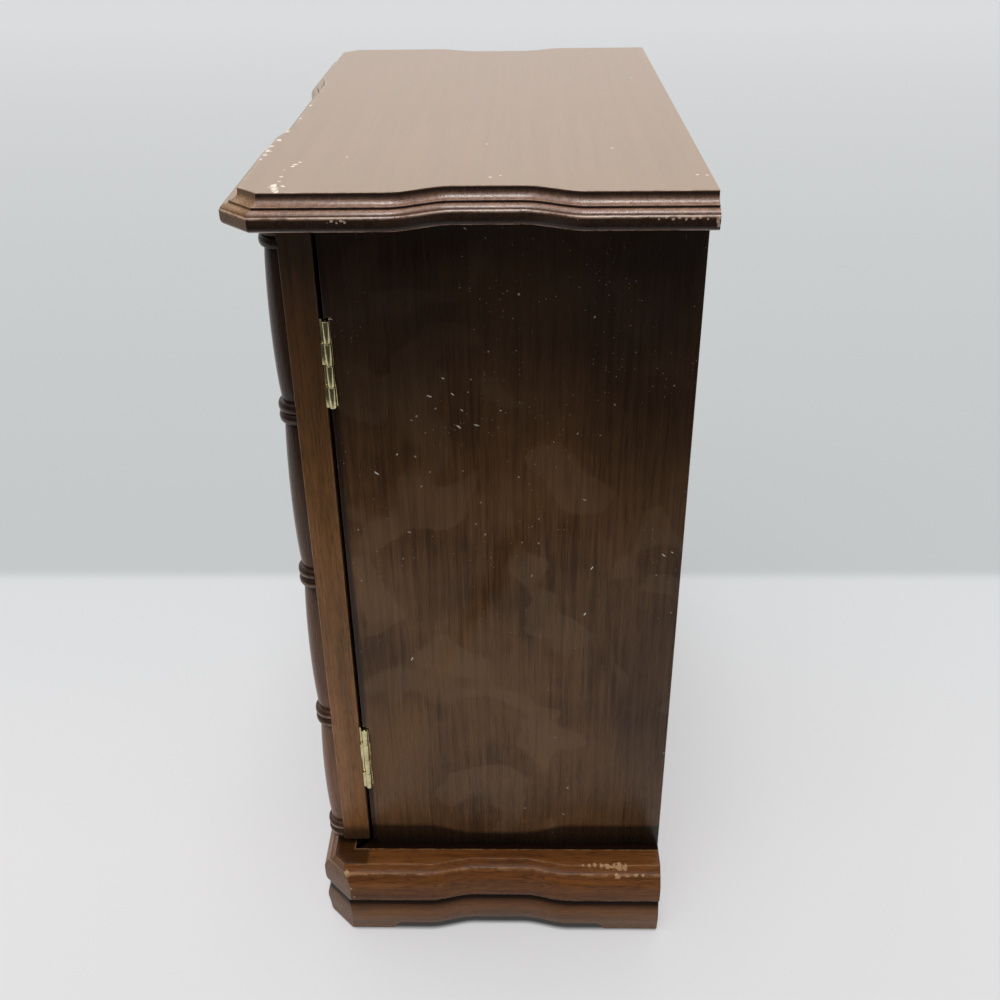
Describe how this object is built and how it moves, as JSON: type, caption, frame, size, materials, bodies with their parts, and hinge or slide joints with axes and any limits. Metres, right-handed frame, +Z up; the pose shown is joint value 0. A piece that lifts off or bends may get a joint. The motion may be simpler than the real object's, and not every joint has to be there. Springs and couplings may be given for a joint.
{
  "type": "tabletop cabinet",
  "caption": "Tabletop wooden cabinet with hinged doors, serpentine moulded top, bracket base and split turned pilasters.",
  "frame": {"origin": "middle of the bounding box's footprint, on the surface that the feet stand on", "axes": "+Z up; the doors face -Y; +X is to the right when facing the doors"},
  "size_m": [0.31, 0.177, 0.38],
  "materials": {
    "top_wood": "worn satin brown stain and lacquer",
    "base_wood": "worn satin brown stain and lacquer",
    "side_wood": "satin dark brown stain and lacquer",
    "door_wood": "satin dark brown stain and lacquer",
    "panel_wood": "satin brown stain and lacquer",
    "inner_wood": "thin brown stain",
    "plain_wood": "bare plywood and pine, aged",
    "felt": "wine red wool felt",
    "brass": "aged polished brass",
    "old_brass": "tarnished brass",
    "steel": "zinc plated",
    "catch_housing": "matt brown"
  },
  "bodies": {
    "case": {"top_board": "top_wood", "base_side_left": "base_wood", "base_side_right": "base_wood", "base_front": "base_wood", "base_back_rail": "base_wood", "base_corner_blocks": "plain_wood", "side_panel_left": "side_wood", "side_panel_right": "side_wood", "back_panel": "plain_wood", "back_brads": "steel", "floor_panel": "inner_wood", "inner_top": "inner_wood", "partition": "inner_wood", "left_lower_shelf": "inner_wood", "left_upper_shelf": "inner_wood", "right_shelf": "inner_wood", "shelf_pins": "brass", "left_floor_felt": "felt", "left_lower_felt": "felt", "left_upper_felt": "felt", "right_floor_felt": "felt", "right_shelf_felt": "felt", "peg_rail": "door_wood", "necklace_pegs": "brass", "left_upper_case_leaf": "old_brass", "left_upper_hinge_pin": "brass", "left_lower_case_leaf": "old_brass", "left_lower_hinge_pin": "brass", "right_upper_case_leaf": "old_brass", "right_upper_hinge_pin": "brass", "right_lower_case_leaf": "old_brass", "right_lower_hinge_pin": "brass", "left_catch": "catch_housing", "right_catch": "catch_housing", "case_screws": "brass", "top_screws": "steel"},
    "left_door": {"left_outer_stile": "door_wood", "left_inner_stile": "door_wood", "left_top_rail": "door_wood", "left_bottom_rail": "door_wood", "left_door_panel": "panel_wood", "left_pilaster": "door_wood", "left_knob": "brass", "left_knob_screw": "steel", "left_upper_door_leaf": "old_brass", "left_lower_door_leaf": "old_brass", "left_strike": "steel", "left_door_screws": "brass"},
    "right_door": {"right_outer_stile": "door_wood", "right_inner_stile": "door_wood", "right_top_rail": "door_wood", "right_bottom_rail": "door_wood", "right_door_panel": "panel_wood", "right_pilaster": "door_wood", "right_knob": "brass", "right_knob_screw": "steel", "right_upper_door_leaf": "old_brass", "right_lower_door_leaf": "old_brass", "right_strike": "steel", "right_door_screws": "brass"}
  },
  "joints": [
    {"name": "left_door_swing", "type": "hinge", "parent": "case", "child": "left_door", "pos_m": [-0.1353, -0.0555, 0.2055], "axis": [0, 0, -1], "range_deg": [0, 180]},
    {"name": "right_door_swing", "type": "hinge", "parent": "case", "child": "right_door", "pos_m": [0.1353, -0.0555, 0.2055], "axis": [0, 0, 1], "range_deg": [0, 180]}
  ]
}
